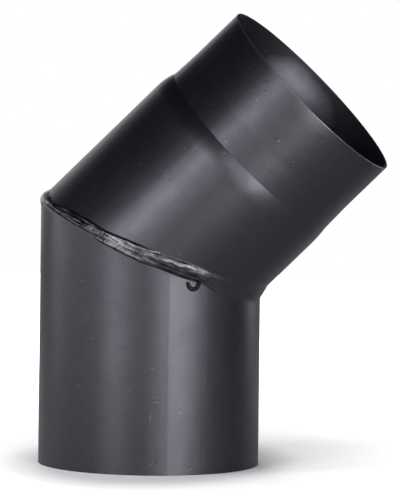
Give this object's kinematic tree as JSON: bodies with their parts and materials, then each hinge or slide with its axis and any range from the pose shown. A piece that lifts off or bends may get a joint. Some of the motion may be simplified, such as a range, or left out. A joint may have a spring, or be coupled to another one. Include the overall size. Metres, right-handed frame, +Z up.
{
  "type": "flue elbow",
  "caption": "Rigid 45 degree flue pipe elbow: plain open lower end, welded mitre joint with a rounded bead, and a swaged spigot at the open upper end.",
  "frame": {"origin": "centre of the open lower end, in the plane of its cut face", "axes": "+Z up along the lower pipe's axis; the elbow bends towards +X, and X-Z is the plane of the bend; +Y completes a right-handed frame"},
  "size_m": [0.2425, 0.1586, 0.3166],
  "materials": {
    "flue_paint": "heat-resistant satin paint, dark grey, finely speckled",
    "weld_paint": "the same paint over an uneven weld bead, a little glossier"
  },
  "bodies": {
    "root": {"lower_pipe": "flue_paint", "upper_pipe": "flue_paint", "mitre_weld": "weld_paint", "lower_seam_weld": "flue_paint", "upper_seam_weld": "flue_paint", "weld_wire_curl": "weld_paint"}
  },
  "joints": []
}
